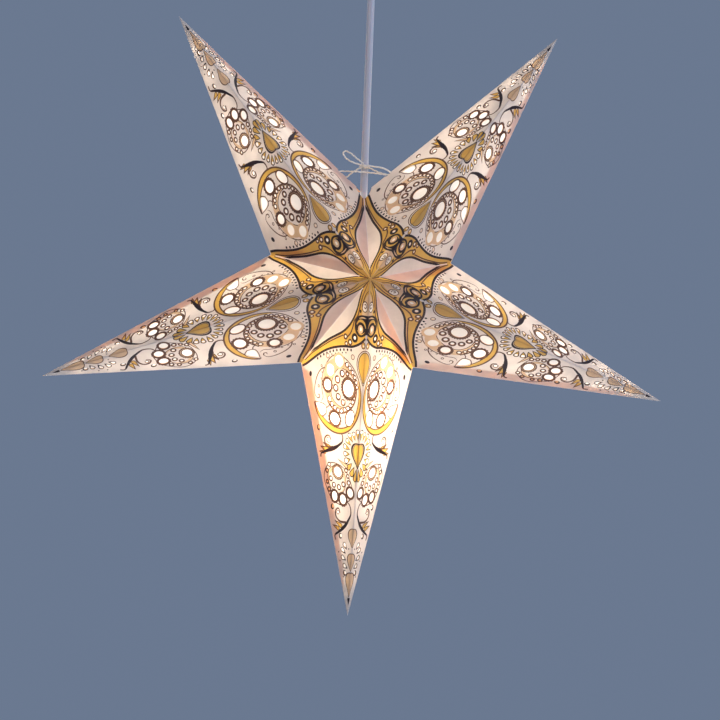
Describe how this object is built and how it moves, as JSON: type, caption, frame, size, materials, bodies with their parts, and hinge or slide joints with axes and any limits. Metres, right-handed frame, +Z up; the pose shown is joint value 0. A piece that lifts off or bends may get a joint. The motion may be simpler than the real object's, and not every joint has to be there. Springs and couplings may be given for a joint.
{
  "type": "paper star lantern",
  "caption": "Five-pointed folded paper star lantern with die-cut windows, tied with twine to its pendant lamp cord, with bulb, lampholder and ceiling cup.",
  "frame": {"origin": "centre of the ceiling cup's mounting face, on the cord's axis", "axes": "+Z up into the ceiling, the cord hangs down -Z, +Y from the star's front point to its back point, -Y the front, +X across the star"},
  "size_m": [0.5992, 0.208, 0.675],
  "materials": {
    "star_card": "matt printed card",
    "star_lining": "matt thin white paper",
    "cord_pvc": "semi-matt white PVC",
    "twine": "matt cotton",
    "cup_white": "satin white",
    "white_plastic": "satin white",
    "terminal_plastic": "natural translucent nylon",
    "zinc_steel": "bright zinc plated",
    "brass": "plain",
    "core_brown": "semi-matt PVC",
    "core_blue": "semi-matt PVC",
    "bulb_metal": "satin",
    "black_glass": "gloss black",
    "bulb_glass": "clear",
    "stem_glass": "clear",
    "filament": "coated"
  },
  "bodies": {
    "root": {"ceiling_plate": "zinc_steel", "clamp_saddle": "white_plastic", "clamp_bar": "white_plastic", "clamp_screws": "zinc_steel", "terminal_block": "terminal_plastic", "terminal_barrels": "brass", "core_live": "core_brown", "core_neutral": "core_blue", "cord_upper": "cord_pvc"},
    "cup": {"ceiling_cup": "cup_white", "cup_gland": "cup_white"},
    "pendant": {"cord_drop": "cord_pvc", "holder_cord_grip": "white_plastic", "holder_cap": "white_plastic", "holder_sleeve": "white_plastic", "socket_insert": "white_plastic", "socket_shell": "brass", "socket_contact": "brass"},
    "bulb": {"bulb_foot_contact": "bulb_metal", "bulb_insulator": "black_glass", "bulb_cap": "bulb_metal", "bulb_glass": "bulb_glass", "bulb_stem": "stem_glass", "bulb_filaments": "filament"},
    "tie": {"tie_twine": "twine", "tie_wrap": "twine", "tie_knot": "twine", "tie_bow_loop": "twine", "tie_tail": "twine"},
    "star": {"arm_top_left_card": "star_card", "arm_top_right_card": "star_card", "arm_right_card": "star_card", "arm_bottom_card": "star_card", "arm_left_card": "star_card", "arm_top_left_lining": "star_lining", "arm_top_right_lining": "star_lining", "arm_right_lining": "star_lining", "arm_bottom_lining": "star_lining", "arm_left_lining": "star_lining"}
  },
  "joints": [
    {"name": "cup_drop", "type": "slide", "parent": "root", "child": "cup", "axis": [0, 0, -1], "range_m": [0, 0.025]},
    {"name": "swing", "type": "hinge", "parent": "root", "child": "pendant", "pos_m": [0, 0, -0.096], "axis": [0, 1, 0], "range_deg": [-12, 12]},
    {"name": "unscrew", "type": "slide", "parent": "pendant", "child": "bulb", "axis": [0, 0, -1], "range_m": [0, 0.02]},
    {"name": "turn", "type": "hinge", "parent": "pendant", "child": "tie", "pos_m": [0, 0, -0.25], "axis": [0, 0, 1], "range_deg": [-90, 90]},
    {"name": "nod", "type": "hinge", "parent": "tie", "child": "star", "pos_m": [0, 0, -0.25], "axis": [1, 0, 0], "range_deg": [-6, 6]}
  ]
}
